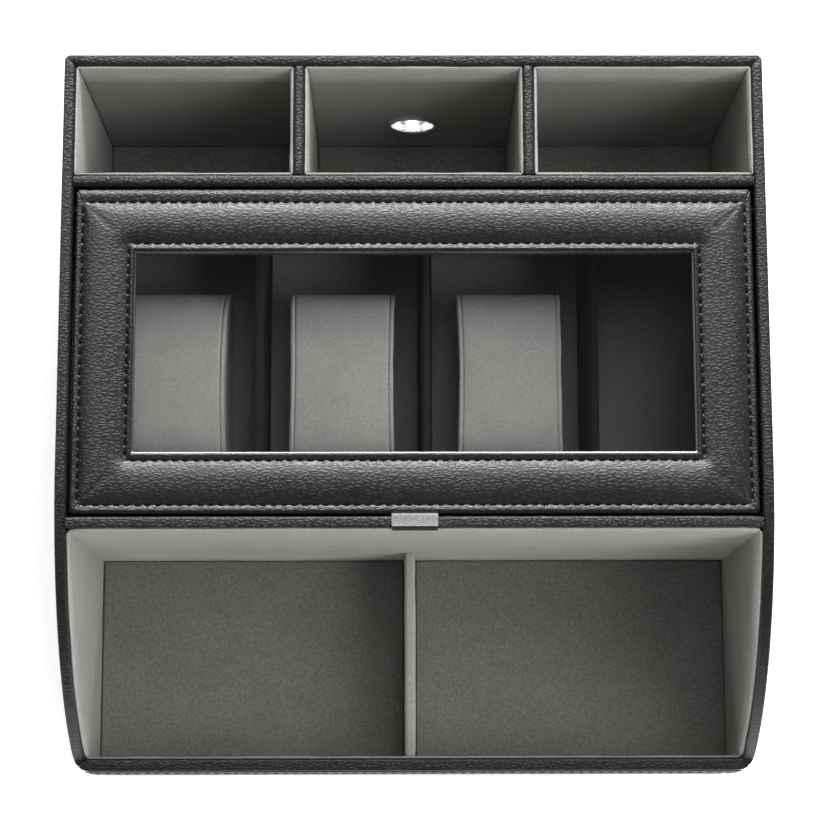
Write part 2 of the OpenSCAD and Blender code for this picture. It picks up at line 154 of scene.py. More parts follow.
def box_mm(node):
    low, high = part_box(node)
    return Vector(low) / MM, Vector(high) / MM


side_low, side_high = box_mm("right_side_panel")
back_low, back_high = box_mm("back_panel")
front_low, front_high = box_mm("front_panel")
pad_low, pad_high = box_mm("front_pad")
tray_low, tray_high = box_mm("tray_back_lining")
cover_low, cover_high = box_mm("lid_cover")
lid_board_low, lid_board_high = box_mm("lid_frame")
glass_low, glass_high = box_mm("lid_glass")

case_rect = (-side_high.x, side_high.x, front_low.y, back_high.y)
wall = side_high.x - side_low.x
inner_x = side_low.x
base_z = back_low.z
rim_z = back_high.z
front_z = front_high.z
floor_z = box_mm("tray_left_floor")[1].z
lining_t = inner_x - box_mm("tray_right_lining")[0].x
lining_drop = rim_z - tray_high.z
fall_y = front_high.y + FALL_RUN
fall_h = rim_z - front_z
fall_r = (FALL_RUN ** 2 + fall_h ** 2) / (2 * fall_h)
lid_rect = (cover_low.x, cover_high.x, cover_low.y, cover_high.y)


# Materials

CHARCOAL = (0.017, 0.017, 0.0175)
NOISE_MIDDLE = (0.3, 0.7)  # the part of a noise's range that holds most of it


def add(tree, kind, links=None, **settings):
    """A shader node with its settings, its input values and its incoming links."""
    node = tree.nodes.new("ShaderNode" + kind)
    for key, value in settings.items():
        setattr(node, key, value)
    for key, value in (links or {}).items():
        if isinstance(value, bpy.types.NodeSocket):
            tree.links.new(value, node.inputs[key])
        else:
            node.inputs[key].default_value = value
    return node


def blank(name, **sockets):
    """A material with a Principled shader, its tree, the shader and object coordinates."""
    made = bpy.data.materials.new(name)
    made.use_nodes = True
    tree = made.node_tree
    shader = tree.nodes["Principled BSDF"]
    for key, value in sockets.items():
        shader.inputs[key.replace("_", " ")].default_value = value
    return made, tree, shader, add(tree, "TexCoord").outputs["Object"]


def shade(colour, factor):
    return (*[min(c * factor, 1.0) for c in colour], 1.0)


def grey(level):
    return (level, level, level, 1.0)


def tint(tree, fac, low, high):
    """A colour between two others, by a factor."""
    return add(tree, "Mix", {"Factor": fac, 6: low, 7: high}, data_type="RGBA").outputs[2]


def times(tree, one, two):
    mix = add(tree, "Mix", {"Factor": 1.0, 6: one, 7: two}, data_type="RGBA", blend_type="MULTIPLY")
    return mix.outputs[2]


def remap(tree, value, low, high, to_low=0.0, to_high=1.0, kind="SMOOTHSTEP"):
    return add(tree, "MapRange", {
        "Value": value, "From Min": low, "From Max": high, "To Min": to_low, "To Max": to_high,
    }, interpolation_type=kind).outputs["Result"]


def maths(tree, operation, *values):
    return add(tree, "Math", dict(enumerate(values)), operation=operation).outputs[0]


def cloud(tree, place, scale, detail, rough=0.5):
    """Noise over a surface, its scale in waves per metre."""
    return add(tree, "TexNoise", {
        "Vector": place, "Scale": scale, "Detail": detail, "Roughness": rough,
    }).outputs["Fac"]


def wire(tree, shader, colour, rough):
    tree.links.new(colour, shader.inputs["Base Color"])
    tree.links.new(rough, shader.inputs["Roughness"])


def add_bump(tree, shader, height, strength, depth):
    """A fine relief, its depth in millimetres."""
    bump = add(tree, "Bump", {"Height": height, "Strength": strength, "Distance": depth * MM})
    tree.links.new(bump.outputs[0], shader.inputs["Normal"])


def leather_material(name, colour, cell, depth, rough, stretch, specular=0.5, crease_shade=0.62):
    """Pebbled leather: warped cells with creases between them painted darker as shade, fine pores and slow
    tone changes.
    """
    made, tree, shader, place = blank(name, Specular_IOR_Level=specular)
    mapped = add(tree, "Mapping", {"Vector": place, "Scale": (stretch, 1.0, 1.0)}).outputs[0]
    warp = add(tree, "TexNoise", {"Vector": mapped, "Scale": 0.45 / (cell * MM), "Detail": 2.0})
    bent = add(tree, "VectorMath", {
        0: warp.outputs["Color"], 1: (0.6 * cell * MM,) * 3, 2: mapped,
    }, operation="MULTIPLY_ADD").outputs[0]
    cells = add(tree, "TexVoronoi", {"Vector": bent, "Scale": 1 / (cell * MM)}, feature="DISTANCE_TO_EDGE")
    pebble = remap(tree, cells.outputs["Distance"], 0.0, 0.3)
    pores = cloud(tree, place, 5000.0, 3.0)
    slow = cloud(tree, place, 55.0, 3.0)
    relief = maths(tree, "MULTIPLY_ADD", pores, 0.08, pebble)
    add_bump(tree, shader, relief, 1.0, depth)
    # painted shade: the tone is darker in the creases between cells and lighter on their tops, by the same
    # height that drives the bump
    grain_crease_shade = tint(tree, pebble, shade(colour, crease_shade), shade(colour, 1.1))
    patch = tint(tree, remap(tree, slow, *NOISE_MIDDLE), grey(0.92), grey(1.0))
    gloss = remap(tree, slow, *NOISE_MIDDLE, rough - 0.03, rough + 0.03)
    wire(tree, shader, times(tree, grain_crease_shade, patch), gloss)
    return made


def suede_material(name, colour, mottle, sheen, nap=1700.0, top_light_gain=1.0):
    """Suede cloth: a fine nap, brushed patches of pile, and faces that turn upwards painted lighter by a
    factor, as painted top light.
    """
    made, tree, shader, place = blank(
        name, Specular_IOR_Level=0.1, Sheen_Weight=sheen, Sheen_Roughness=0.5)
    fibre = cloud(tree, place, nap, 5.0, 0.7)
    brushed = cloud(tree, place, 800.0, 4.0, 0.62)
    broad = cloud(tree, place, 60.0, 2.0)
    pile = tint(tree, remap(tree, fibre, 0.25, 0.75), shade(colour, 0.8), shade(colour, 1.16))
    patch = tint(tree, remap(tree, brushed, *NOISE_MIDDLE), grey(1 - mottle), grey(1.0))
    slow = tint(tree, remap(tree, broad, *NOISE_MIDDLE), grey(0.93), grey(1.0))
    upward = add(tree, "SeparateXYZ", {0: add(tree, "NewGeometry").outputs["Normal"]}).outputs["Z"]
    # painted top light: faces that turn upwards are lightened by the given factor, as if lit from above; at
    # 1 there is none
    edge = tint(tree, remap(tree, upward, 0.55, 0.9), grey(1.0), grey(top_light_gain))
    tone = times(tree, times(tree, times(tree, pile, patch), slow), edge)
    wire(tree, shader, tone, remap(tree, brushed, 0.2, 0.8, 0.88, 1.0))
    add_bump(tree, shader, fibre, 0.6, 0.12)
    return made


def metal_material(name, colour, rough, streak):
    """Metal with faint polishing marks."""
    made, tree, shader, place = blank(name, Metallic=1.0)
    mapped = add(tree, "Mapping", {"Vector": place, "Scale": (1.0, streak, 1.0)}).outputs[0]
    marks = cloud(tree, mapped, 900.0, 3.0)
    tone = tint(tree, marks, shade(colour, 0.92), shade(colour, 1.04))
    wire(tree, shader, tone, remap(tree, marks, *NOISE_MIDDLE, rough * 0.8, rough * 1.25))
    return made


def board_material(name, colour):
    """Pressed fibreboard with flecks."""
    made, tree, shader, place = blank(name)
    fleck = cloud(tree, place, 1400.0, 4.0)
    tone = tint(tree, fleck, shade(colour, 0.7), shade(colour, 1.25))
    wire(tree, shader, tone, remap(tree, fleck, *NOISE_MIDDLE, 0.7, 0.85))
    add_bump(tree, shader, fleck, 0.5, 0.1)
    return made


def thread_material(name, colour):
    """Waxed thread with its twist."""
    made, tree, shader, place = blank(name, Specular_IOR_Level=0.15)
    twist = add(tree, "TexWave", {
        "Vector": place, "Scale": 700.0, "Distortion": 1.5,
    }, bands_direction="DIAGONAL").outputs["Fac"]
    tone = tint(tree, twist, shade(colour, 0.6), shade(colour, 1.3))
    wire(tree, shader, tone, remap(tree, twist, 0.0, 1.0, 0.7, 0.9))
    add_bump(tree, shader, twist, 0.5, 0.08)
    return made


def glass_material(name):
    """Clear float glass that lets lamp light through, with a trace of smear in its gloss."""
    made, tree, shader, place = blank(
        name, Base_Color=(0.98, 0.99, 0.985, 1.0), Transmission_Weight=1.0, IOR=1.45)
    smear = cloud(tree, place, 30.0, 3.0)
    tree.links.new(remap(tree, smear, 0.4, 0.8, 0.0, 0.02), shader.inputs["Roughness"])
    path = add(tree, "LightPath").outputs
    either = maths(tree, "MAXIMUM", path["Is Shadow Ray"], path["Is Diffuse Ray"])
    clear = add(tree, "BsdfTransparent", {"Color": (0.96, 0.97, 0.965, 1.0)})
    mix = add(tree, "MixShader", {0: either, 1: shader.outputs[0], 2: clear.outputs[0]})
    tree.links.new(mix.outputs[0], tree.nodes["Material Output"].inputs["Surface"])
    return made


leather = leather_material("leather", CHARCOAL, 1.35, 0.11, 0.37, 0.6, 0.7)
lid_leather = leather_material("lid_leather", CHARCOAL, 1.4, 0.078, 0.33, 0.52, 1.0)
silver_leather = leather_material("silver_leather", (0.28, 0.28, 0.285), 1.2, 0.05, 0.34, 0.8, 0.7, 0.8)
suede = suede_material("suede", (0.39, 0.381, 0.358), 0.12, 0.15)
# the bays' lining: a darker copy of the tray's suede, as painted shade in the deep bays, with painted top
# light on its upward faces
bay_suede_painted_light = suede_material("bay_suede_painted_light", (0.355, 0.347, 0.326), 0.12, 0.15, top_light_gain=1.3)
suede_floor = suede_material("suede_floor", (0.23, 0.226, 0.212), 0.3, 0.1)
dark_suede = suede_material("dark_suede", (0.03, 0.03, 0.03), 0.2, 0.05)
# the pocket floors' suede: the dark suede made ten times lighter, as painted light where the floors face the
# light from above
watch_suede = suede_material("watch_suede", (0.3, 0.296, 0.288), 0.15, 0.05)
cushion_suede = suede_material("cushion", (0.57, 0.561, 0.54), 0.12, 0.15)
felt = suede_material("felt", (0.03, 0.03, 0.03), 0.3, 0.1, 1500.0)
board = board_material("board", (0.3, 0.2, 0.12))
stained_board = board_material("stained_board", (0.03, 0.029, 0.028))
chrome = metal_material("chrome", (0.96, 0.96, 0.96), 0.28, 1.0)
bead_metal = metal_material("bead", (0.6, 0.6, 0.61), 0.3, 6.0)
steel = metal_material("steel", (0.05, 0.05, 0.052), 0.6, 8.0)
brass = metal_material("brass", (0.65, 0.48, 0.2), 0.3, 8.0)
thread = thread_material("thread", (0.004, 0.004, 0.004))
glass = glass_material("glass")

SLOT_LOOKS = {
    "leather": leather, "suede": suede, "suede_floor": suede_floor, "dark_suede": dark_suede,
    "cushion": cushion_suede, "felt": felt, "board": board, "glass": glass, "chrome": chrome,
    "bead": bead_metal, "silver_leather": silver_leather, "steel": steel, "brass": brass,
}
for subpart in frame["record"]["subparts"]:
    for place in frame["nodes"][subpart["node"]].material_slots:
        place.material = SLOT_LOOKS[subpart["material_slot"]]


# Meshes

def put(name, data):
    """A new object in the scene."""
    made = bpy.data.objects.new(name, data)
    bpy.context.scene.collection.objects.link(made)
    return made


def skin(rings, loop=False):
    """Vertices and faces over rings of points; a loop closes on itself, otherwise the ends are capped."""
    count = len(rings[0])
    verts = [point for ring in rings for point in ring]
    faces = []
    for i in range(len(rings) if loop else len(rings) - 1):
        a = i * count
        b = (i + 1) % len(rings) * count
        faces += [(a + k, a + (k + 1) % count, b + (k + 1) % count, b + k) for k in range(count)]
    if not loop:
        faces.append(tuple(reversed(range(count))))
        faces.append(tuple(range(len(verts) - count, len(verts))))
    return verts, faces


def piece(name, parts, look, body, slot, *nodes, ripple=0.0, wave=LONG_WAVE, sharp=SHARP):
    """One object from parts of (vertices, faces), with a faint unevenness, riding on a body."""
    verts = []
    faces = []
    for part_verts, part_faces in parts:
        base = len(verts)
        verts += [Vector(v) * MM for v in part_verts]
        faces += [tuple(base + i for i in face) for face in part_faces]
    mesh = bpy.data.meshes.new(name)
    mesh.from_pydata(verts, [], faces)
    work = bmesh.new()
    work.from_mesh(mesh)
    bmesh.ops.remove_doubles(work, verts=work.verts, dist=WELD * MM)
    bmesh.ops.dissolve_degenerate(work, edges=work.edges, dist=WELD / 2 * MM)
    bmesh.ops.recalc_face_normals(work, faces=work.faces)
    work.normal_update()
    if ripple:
        moves = [v.normal * ripple * MM * noise.noise(v.co / (wave * MM)) for v in work.verts]
        for vert, move in zip(work.verts, moves):
            vert.co += move
    for face in work.faces:
        face.smooth = True
    work.to_mesh(mesh)
    work.free()
    mesh.set_sharp_from_angle(angle=math.radians(sharp))
    mesh.materials.append(look)
    made = put(name, mesh)
    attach(made, body)
    if nodes:
        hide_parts(*nodes)
    return made


def bore(made, centre, axis, radius, length):
    """Cuts a round hole in a piece."""
    mesh = bpy.data.meshes.new("bore")
    work = bmesh.new()
    turn = Vector((0, 0, 1)).rotation_difference(Vector(axis)).to_matrix().to_4x4()
    bmesh.ops.create_cone(
        work, cap_ends=True, segments=BORE_SIDES, radius1=radius * MM, radius2=radius * MM,
        depth=length * MM, matrix=Matrix.Translation(Vector(centre) * MM) @ turn)
    work.to_mesh(mesh)
    work.free()
    cutter = put("bore", mesh)
    cut = made.modifiers.new("bore", "BOOLEAN")
    cut.object = cutter
    cut.solver = "EXACT"
    view = bpy.context.evaluated_depsgraph_get()
    result = bpy.data.meshes.new_from_object(made.evaluated_get(view))
    made.modifiers.clear()
    made.data = result
    result.set_sharp_from_angle(angle=math.radians(SHARP))
    bpy.data.objects.remove(cutter)


def side_frame(rect, side):
    """Start corner, direction, inward direction and length of one side of a rectangle."""
    x0, x1, y0, y1 = rect
    return {
        "front": (Vector((x0, y0)), Vector((1, 0)), Vector((0, 1)), x1 - x0),
        "right": (Vector((x1, y0)), Vector((0, 1)), Vector((-1, 0)), y1 - y0),
        "back": (Vector((x1, y1)), Vector((-1, 0)), Vector((0, -1)), x1 - x0),
        "left": (Vector((x0, y1)), Vector((0, -1)), Vector((1, 0)), y1 - y0),
    }[side]


def on_run(w, u, length, radii):
    """Place along a side and inset from it: w is below 0 in the first corner and above 1 in the last."""
    if w < 0 or w > 1:
        first = w < 0
        r = radii[0] if first else radii[1]
        turn = math.radians(45 * (-w if first else w - 1))
        s = v = u
        if u < r:
            s = r - (r - u) * math.sin(turn)
            v = r - (r - u) * math.cos(turn)
        return (s if first else length - s), v
    low = max(radii[0], u)
    high = length - max(radii[1], u)
    return low + w * (high - low), u


def steps_along(straight):
    """Stations of a run: half a corner, the straight part, half a corner."""
    corner = [k / ARC_STEPS for k in range(1, ARC_STEPS + 1)]
    return [-c for c in reversed(corner)] + straight + [1 + c for c in corner]


def even(count):
    return [k / count for k in range(count + 1)]


def angles(step, count):
    """Angles in radians, from one step of so many degrees upwards."""
    return [math.radians(step * k) for k in range(1, count + 1)]


floor_stations = {side: steps_along(even(FLOOR_STEPS)) for side in SIDES}


def quarter(wide, deep, steps=6):
    """Rounded edge of a board from its face to its top: (inset from the face, depth below the top)."""
    turns = [math.radians(90 * k / steps) for k in range(steps + 1)]
    return [(wide - wide * math.cos(a), deep - deep * math.sin(a)) for a in turns]


def board_section(thick, outer, inner=None):
    """Section of a board with rounded top edges: (inset from the outer face, depth below the top)."""
    far = [(thick - u, depth) for u, depth in reversed(quarter(*(inner or outer)))]
    return [(0, DEEP)] + quarter(*outer) + far + [(thick, DEEP)]


def drawn_in(section, by):
    """The section with its skin drawn in, for the bottom of a seam."""
    drawn = []
    for i, (u, depth) in enumerate(section):
        before = section[i - 1]
        after = section[(i + 1) % len(section)]
        du = after[0] - before[0]
        dd = after[1] - before[1]
        size = math.hypot(du, dd)
        drawn.append((u - by * dd / size, depth + by * du / size))
    return drawn


def run_rings(rect, side, radii, section, top, foot, stations):
    """Rings of a board along one side of a rounded rectangle, mitred at both corners."""
    start, along, inward, length = side_frame(rect, side)
    drawn = drawn_in(section, SEAM)
    edge = SEAM_WIDE / length
    rings = []
    for w in sorted(stations + [edge, 1 - edge]):
        ring = []
        for plain, pulled in zip(section, drawn):
            corner = radii[0] if w < 0.5 else radii[1]
            at_end = w in (stations[0], stations[-1]) or plain[0] >= corner and not 0 < w < 1
            u, depth = pulled if at_end else plain
            s, v = on_run(w, u, length, radii)
            x, y = start + along * s + inward * v
            ring.append((x, y, max(top(x, y) - depth, foot)))
        rings.append(ring)
    return rings


def straight_rings(node, along_x, edge, far_edge=None):
    """Rings of a straight board in a node's box, with rounded top edges and eased ends."""
    low, high = box_mm(node)
    length = high.x - low.x if along_x else high.y - low.y
    thick = high.y - low.y if along_x else high.x - low.x
    section = board_section(thick, (edge,) * 2, (far_edge or edge,) * 2)
    ends = drawn_in(section, SEAM)
    rings = []
    for k in range(RUN_STEPS + 1):
        s = length * k / RUN_STEPS
        if 0 < k < RUN_STEPS:
            s = min(max(s, SEAM), length - SEAM)
        ring = []
        for u, depth in section if 0 < k < RUN_STEPS else ends:
            x, y = (low.x + s, low.y + u) if along_x else (high.x - u, low.y + s)
            ring.append((x, y, max(high.z - depth, low.z)))
        rings.append(ring)
    return rings


def inset_rect(rect, front, right, back, left):
    x0, x1, y0, y1 = rect
    return (x0 + left, x1 - right, y0 + front, y1 - back)


def shrink(rect, by):
    return inset_rect(rect, by, by, by, by)


def between(one, two, t):
    return tuple(a + (b - a) * t for a, b in zip(one, two))


def rect_path(rect, r, stations):
    """Points round a rounded rectangle, the same count for every rectangle with these stations."""
    points = []
    for side in SIDES:
        start, along, inward, length = side_frame(rect, side)
        for w in stations[side][:-1]:
            s, v = on_run(w, 0, length, (r, r))
            points.append(start + along * s + inward * v)
    return points


def ring_skin(columns, stations):
    """A closed frame from columns of (rectangle, corner radius, height)."""
    paths = [(rect_path(rect, r, stations), z) for rect, r, z in columns]
    rings = [[(*path[i], z) for path, z in paths] for i in range(len(paths[0][0]))]
    return skin(rings, loop=True)


def slab(rect, corner, levels, place=lambda a, b, h: (a, b, h)):
    """A flat piece with shaped edges: each level is (inset, height)."""
    rings = []
    for inset, h in levels:
        path = rect_path(shrink(rect, inset), max(corner - inset, LEAST_CORNER), floor_stations)
        rings.append([place(p.x, p.y, h) for p in path])
    return skin(rings)


def stack(levels):
    """A flat piece from levels of (rectangle, height)."""
    paths = [(rect_path(rect, FLOOR_CORNER, floor_stations), z) for rect, z in levels]
    return skin([[(*spot, z) for spot in path] for path, z in paths])


def lathe(centre, profile, turns=96):
    """A ring turned round an axis along Y from a closed profile of (radius, y)."""
    rings = []
    for k in range(turns):
        a = 2 * math.pi * k / turns
        rings.append([(centre.x + r * math.cos(a), y, centre.z + r * math.sin(a)) for r, y in profile])
    return skin(rings, loop=True)


def stitch(centre, along, out):
    """One stitch: a short thread that dives into the leather at both ends."""
    across = along.cross(out)
    flat = out * THREAD_FLAT
    turns = [2 * math.pi * k / THREAD_SIDES for k in range(THREAD_SIDES)]
    rings = []
    for k in range(THREAD_STEPS + 1):
        t = 2 * k / THREAD_STEPS - 1
        r = max(THREAD_R * math.sqrt(max(1 - t ** 4, 0)), THREAD_TIP)
        middle = centre + along * (t * STITCH_LENGTH / 2) - out * (STITCH_DIP * t * t)
        rings.append([middle + across * r * math.cos(a) + flat * r * math.sin(a) for a in turns])
    return skin(rings)


def stitch_row(rect, side):
    """Pitch and count of the stitches along a side, between its corners."""
    length = side_frame(rect, side)[3] - 2 * STITCH_CORNER
    count = round(length / STITCH_PITCH)
    return length / count, count


def sew(rect, place, turn, out):
    """Stitches round a rectangle; place and turn carry its points and directions into space."""
    made = []
    for side in SIDES:
        start, along, _, _ = side_frame(rect, side)
        gap, count = stitch_row(rect, side)
        for i in range(count):
            spot = start + along * (STITCH_CORNER + (i + 0.5) * gap)
            made.append(stitch(place(spot), turn(along), Vector(out)))
    return made


def pull(rect, side, x, y):
    """How strongly the nearest stitch of a row pulls at a place: 1 at its middle, 0 between stitches."""
    start, along, _, _ = side_frame(rect, side)
    gap, count = stitch_row(rect, side)
    phase = ((Vector((x, y)) - start).dot(along) - STITCH_CORNER) / gap
    return abs(math.sin(math.pi * phase)) ** PIT_POWER if 0 <= phase <= count else 0.0


# Case

def rim(x, y):
    """Top of the case at a place: level at the back, then a curved fall to the front board."""
    if y >= fall_y:
        return rim_z
    drop = fall_r - math.sqrt(max(fall_r ** 2 - (fall_y - y) ** 2, 0))
    return max(rim_z - drop, front_z)


def side_stations():
    """Stations along the right side, close together where the top falls."""
    steepest = math.asin(FALL_RUN / fall_r)
    falls = [fall_y - fall_r * math.sin(steepest * (1 - k / FALL_STEPS)) for k in range(FALL_STEPS)]
    levels = [fall_y + (back_high.y - fall_y) * k / FALL_STEPS for k in range(FALL_STEPS)]
    first = front_low.y + FRONT_CORNER
    span = back_high.y - BACK_CORNER - first
    inside = [(y - first) / span for y in falls + levels]
    return [0.0] + [w for w in inside if RUN_END < w < 1 - RUN_END] + [1.0]


right_steps = side_stations()
CASE_RUNS = {
    "front": ("front_panel", (FRONT_CORNER, FRONT_CORNER), even(RUN_STEPS)),
    "right": ("right_side_panel", (FRONT_CORNER, BACK_CORNER), right_steps),
    "back": ("back_panel", (BACK_CORNER, BACK_CORNER), even(RUN_STEPS)),
    "left": ("left_side_panel", (BACK_CORNER, FRONT_CORNER), [1 - w for w in reversed(right_steps)]),
}
eyelet_low, eyelet_high = box_mm("cable_eyelet")
eyelet_mid = (eyelet_low + eyelet_high) / 2
flange_r = eyelet_high.x
bore_r = flange_r - EYELET_LIP
barrel_r = flange_r - EYELET_STEP
case_made = {}
for case_side, (node, corner_radii, straight_steps) in CASE_RUNS.items():
    thick = wall + FRONT_LAP if case_side == "front" else wall
    inner_edge = BACK_INNER if case_side == "back" else WALL_INNER
    wall_section = board_section(thick, (WALL_EDGE,) * 2, inner_edge)
    wall_steps = steps_along(straight_steps)
    wall_rings = run_rings(case_rect, case_side, corner_radii, wall_section, rim, base_z, wall_steps)
    case_made[case_side] = piece(
        node + "_leather", [skin(wall_rings)], leather, "case", "leather", node, ripple=WALL_RIPPLE)
bore(case_made["back"], eyelet_mid, (0, 1, 0), barrel_r + BARREL_PLAY, BORE_LENGTH)
for case_side in ("left", "right"):
    bush_low, bush_high = box_mm(case_side + "_pivot_bush")
    bush_r = (bush_high.z - bush_low.z) / 2
    bush_length = bush_high.x - bush_low.x
    bore(case_made[case_side], (bush_low + bush_high) / 2, (1, 0, 0), bush_r + BUSH_PLAY,
         bush_length + 2 * BUSH_PLAY)

for node, along_x, edges in (
        ("rear_rail", True, RAIL_EDGE), ("front_rail", True, FRONT_RAIL_EDGE),
        ("left_bay_divider", False, RAIL_EDGE), ("right_bay_divider", False, RAIL_EDGE)):
    rail_rings = straight_rings(node, along_x, *edges)
    piece(node + "_leather", [skin(rail_rings)], leather, "case", "leather", node, ripple=RAIL_RIPPLE)

# Padded front face, sewn down near its edge
PAD_TURN = ((0, 0), (0, 0.25), (0.15, 0.42), (0.45, 0.5))  # (inset, height) of its turned edge
PAD_EDGE = PAD_TURN[-1][1]
PAD_SEW = 2.3  # inset of the sewn line
PAD_WELT = ((-0.9, 0.2), (-0.3, 0.12), (0, -0.05))  # the same up to that line, from it and from the edge
PAD_ROLL = 5.0  # width of the roll inside the sewn line
PAD_STEPS = 8
PAD_CORNER = 2.0
PAD_THREAD = 0.16  # height of the thread above the turned edge
pad_rect = (pad_low.x, pad_high.x, pad_low.z, pad_high.z)
pad_proud = pad_high.y - pad_low.y
pad_levels = list(PAD_TURN) + [(PAD_SEW + u, PAD_EDGE + h) for u, h in PAD_WELT]
for a in angles(90 / PAD_STEPS, PAD_STEPS):
    roll_u = PAD_ROLL * (1 - math.cos(a))
    pad_levels.append((PAD_SEW + roll_u, PAD_EDGE + (pad_proud - PAD_EDGE) * math.sin(a)))


def on_front(a, b, h):
    return (a, pad_high.y - h, b)


pad_slab = slab(pad_rect, PAD_CORNER, pad_levels, on_front)
front_face = piece("front_pad_leather", [pad_slab], lid_leather, "case", "leather", "front_pad", sharp=60)
pad_stitches = sew(
    shrink(pad_rect, PAD_SEW), lambda p: Vector(on_front(p.x, p.y, PAD_EDGE + PAD_THREAD)),
    lambda d: Vector((d.x, 0, d.y)), (0, -1, 0))
piece("front_pad_stitches", pad_stitches, thread, "case", "leather")

# Linings and floors

bay_top = box_mm("left_bay_back_lining")[1].z
watch_top = box_mm("watch_back_lining")[1].z
lining_section = board_section(lining_t, (LINING_EDGE, LINING_EDGE), LINING_SOFT)


def smooth(t):
    t = min(max(t, 0.0), 1.0)
    return t * t * (3 - 2 * t)


def tray_top(x, y):
    """Top of the tray's linings: they follow the sides, and the back one rises to the front rail."""
    along_side = rim(x, y - lining_t) - lining_drop
    rise = smooth((inner_x - abs(x)) / RISE_SIDE) * smooth((y - tray_low.y + RISE_START) / RISE_RUN)
    return along_side + (tray_high.z - along_side) * rise


def line(prefix, rect, top, look, slot, corner):
    """The four lining boards of a compartment."""
    stations = steps_along(even(RUN_STEPS))
    made = {}
    for side in SIDES:
        node = f"{prefix}_{side}_lining"
        rings = run_rings(rect, side, (corner, corner), lining_section, top, floor_z, stations)
        made[side] = piece(
            node + "_suede", [skin(rings)], look, "case", slot, node, ripple=LINING_RIPPLE, wave=SHORT_WAVE)
    return made


def lay_floor(node, right=True, left=True):
    """A floor board with a narrow sunk joint along its edges; a false side has no lining over it."""
    low, high = box_mm(node)
    whole = (low.x, high.x, low.y, high.y)
    outer = inset_rect(whole, lining_t, lining_t * right, lining_t, lining_t * left)
    inner = inset_rect(outer, FLOOR_GAP, FLOOR_GAP, BACK_GAP, FLOOR_GAP)
    step = high.z - JOINT_DEPTH
    levels = [(whole, low.z), (whole, high.z), (outer, high.z), (outer, step), (inner, step)]
    levels += [(shrink(inner, u), high.z - depth) for u, depth in quarter(FLOOR_EDGE, FLOOR_EDGE)]
    piece(node + "_suede", [stack(levels)], suede_floor, "case", "suede_floor", node)


def rect_of(low_node, high_node=None):
    """Plan of a node, or of all between two nodes."""
    low = box_mm(low_node)[0]
    high = box_mm(high_node or low_node)[1]
    return (low.x, high.x, low.y, high.y)


for bay in ("left_bay", "middle_bay", "right_bay"):
    bay_rect = rect_of(bay + "_floor")
    # the bays are lined with the darker suede that carries painted shade and painted top light
    boards = line(bay, bay_rect, lambda x, y: bay_top, bay_suede_painted_light, "suede", BAY_CORNER)
    lay_floor(bay + "_floor")
    if bay == "middle_bay":
        bore(boards["back"], eyelet_mid, (0, 1, 0), barrel_r + BARREL_PLAY, BORE_LENGTH)

tray_rect = rect_of("tray_left_floor", "tray_right_floor")
line("tray", tray_rect, tray_top, suede, "suede", LINING_CORNER)
lay_floor("tray_left_floor", right=False)
lay_floor("tray_right_floor", left=False)
divider_rings = straight_rings("tray_divider", False, DIVIDER_EDGE)
piece("tray_divider_suede", [skin(divider_rings)], suede, "case", "suede", "tray_divider",
      ripple=DIVIDER_RIPPLE)

watch_rect = rect_of("watch_floor")
line("watch", watch_rect, lambda x, y: watch_top, dark_suede, "dark_suede", WATCH_CORNER)
POCKET_GAP = 1.4  # dark joint beside a watch divider
BASIN_DEPTH = 1.8
BASIN_SINK = 0.1  # how far the blocks under the dividers reach below the basin
BASIN_CORNER = 0.2
watch_low, watch_high = box_mm("watch_floor")
basin_z = watch_high.z - BASIN_DEPTH
lined_rect = shrink(watch_rect, lining_t)
basin_parts = [stack([
    (watch_rect, watch_low.z), (watch_rect, watch_high.z),
    (lined_rect, watch_high.z), (lined_rect, basin_z)])]
pocket_lefts = [lined_rect[0] + FLOOR_GAP]
pocket_rights = []
pocket_levels = [(0, basin_z)] + [(u, watch_high.z - depth) for u, depth in quarter(FLOOR_EDGE, FLOOR_EDGE)]
for node in ("left_watch_divider", "middle_watch_divider", "right_watch_divider"):
    low, high = box_mm(node)
    block_levels = [(0, basin_z - BASIN_SINK), (0, watch_high.z)]
    basin_parts.append(slab(rect_of(node), BASIN_CORNER, block_levels))
    pocket_rights.append(low.x - POCKET_GAP)
    pocket_lefts.append(high.x + POCKET_GAP)
    divider_rings = straight_rings(node, False, WATCH_EDGE)
    piece(node + "_suede", [skin(divider_rings)], dark_suede, "case", "dark_suede", node,
          ripple=WATCH_RIPPLE)
pocket_rights.append(lined_rect[1] - FLOOR_GAP)
pocket_parts = []
for pocket_x in zip(pocket_lefts, pocket_rights):
    pocket = (*pocket_x, lined_rect[2] + FLOOR_GAP, lined_rect[3] - BACK_GAP)
    pocket_parts.append(slab(pocket, FLOOR_CORNER, pocket_levels))
piece("watch_floor_basin", basin_parts, dark_suede, "case", "dark_suede")
# the pocket floors take the lighter copy of the dark suede, as painted light; the basin and dividers keep
# the dark suede
piece("watch_floor_suede", pocket_parts, watch_suede, "case", "dark_suede", "watch_floor")
rest_rings = straight_rings("lid_rest", True, REST_EDGE)
piece("lid_rest_suede", [skin(rest_rings)], dark_suede, "case", "dark_suede", "lid_rest")

# Cable eyelet

